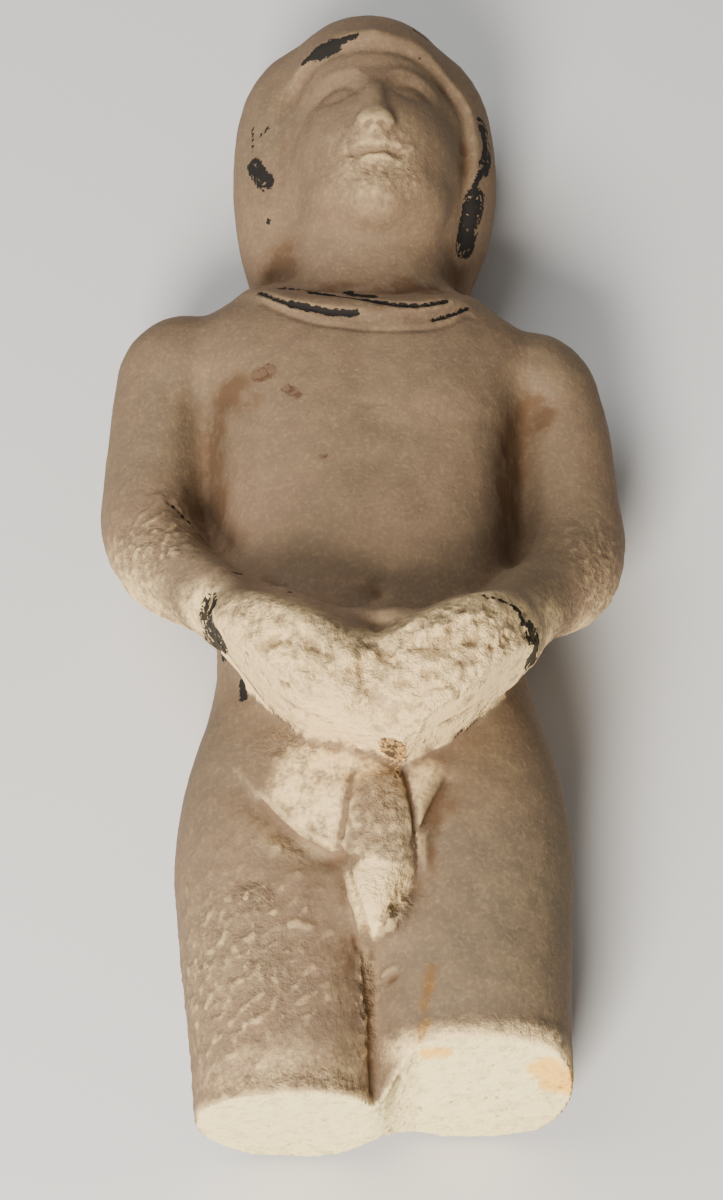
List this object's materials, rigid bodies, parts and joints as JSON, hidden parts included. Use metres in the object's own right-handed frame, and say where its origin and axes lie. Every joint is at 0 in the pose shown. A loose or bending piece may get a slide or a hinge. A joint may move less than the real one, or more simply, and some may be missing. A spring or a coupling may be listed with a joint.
{
  "type": "offering bearer statuette",
  "caption": "Nude male votive figure carved in pale limestone, wig to the shoulders, both hands joined before the belly, broken off across the thighs.",
  "frame": {"origin": "under the middle of the figure, on the surface that it lies on", "axes": "+Y up the body towards the crown, +Z out of its chest, so it lies on its back; -X towards its right arm"},
  "size_m": [0.0828, 0.1948, 0.0518],
  "materials": {
    "limestone": "matte"
  },
  "bodies": {
    "root": {"statuette": "limestone"}
  },
  "joints": []
}
